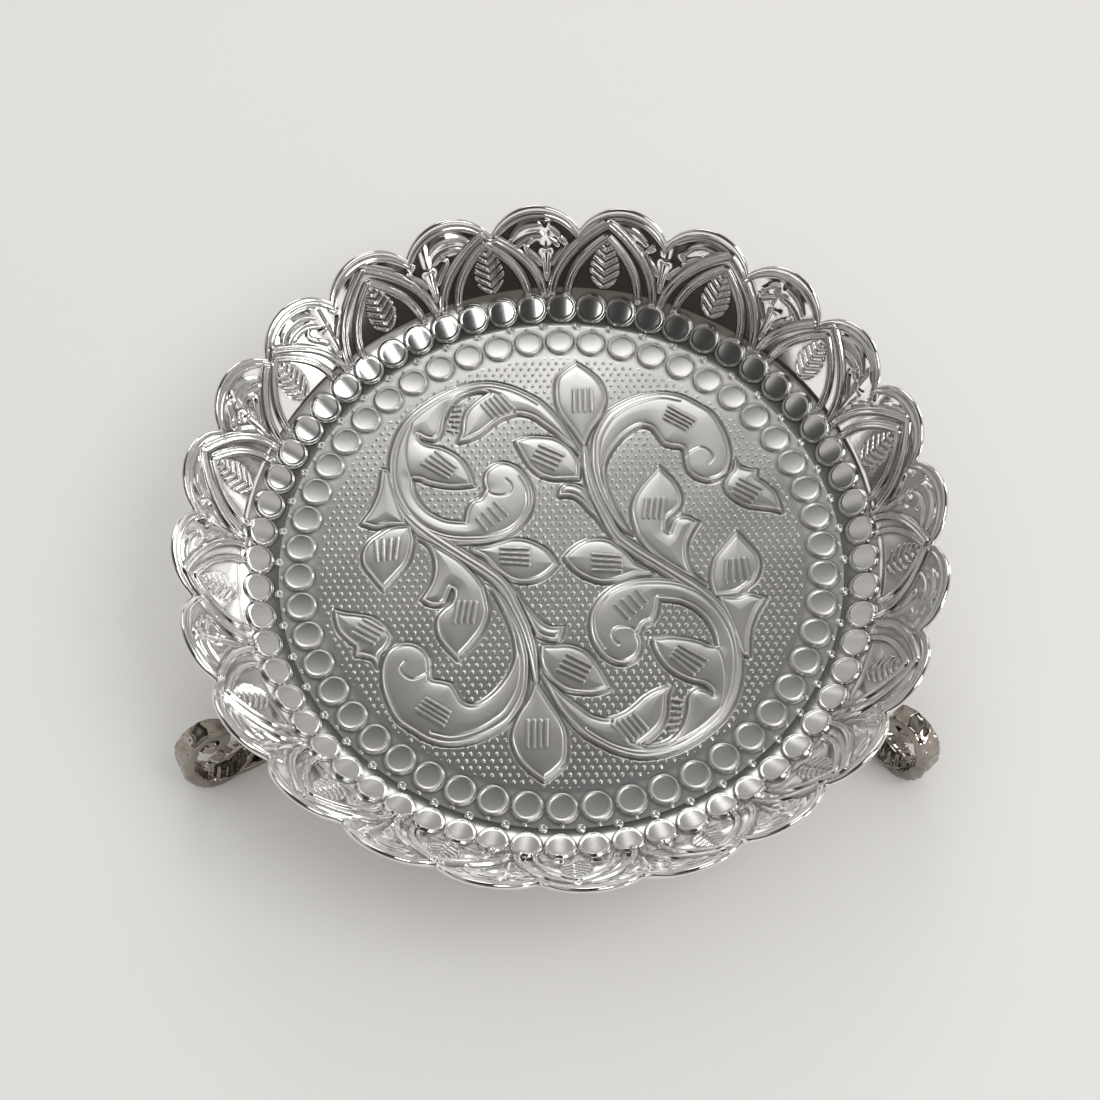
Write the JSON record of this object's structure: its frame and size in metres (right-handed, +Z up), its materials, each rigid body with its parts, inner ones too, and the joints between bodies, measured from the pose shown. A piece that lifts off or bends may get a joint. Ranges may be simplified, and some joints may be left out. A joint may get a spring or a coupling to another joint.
{
  "type": "footed platter",
  "caption": "Round embossed urli platter with a scalloped petal wall, a scroll-vine well and cast scroll feet, for flowers, lamps or offerings.",
  "frame": {"origin": "centre of the well's floor, on the dish's axis", "axes": "+Z up out of the dish along its axis; +Y towards the back foot; the other two feet stand at the front left and front right"},
  "size_m": [0.3003, 0.3188, 0.0791],
  "materials": {
    "silver_sheet": "bright silver plate over pressed brass sheet",
    "cast_foot": "darker, slightly warm nickel or antique silver plate over cast brass"
  },
  "bodies": {
    "root": {"dish": "silver_sheet", "foot_back": "cast_foot", "foot_left": "cast_foot", "foot_right": "cast_foot"}
  },
  "joints": []
}
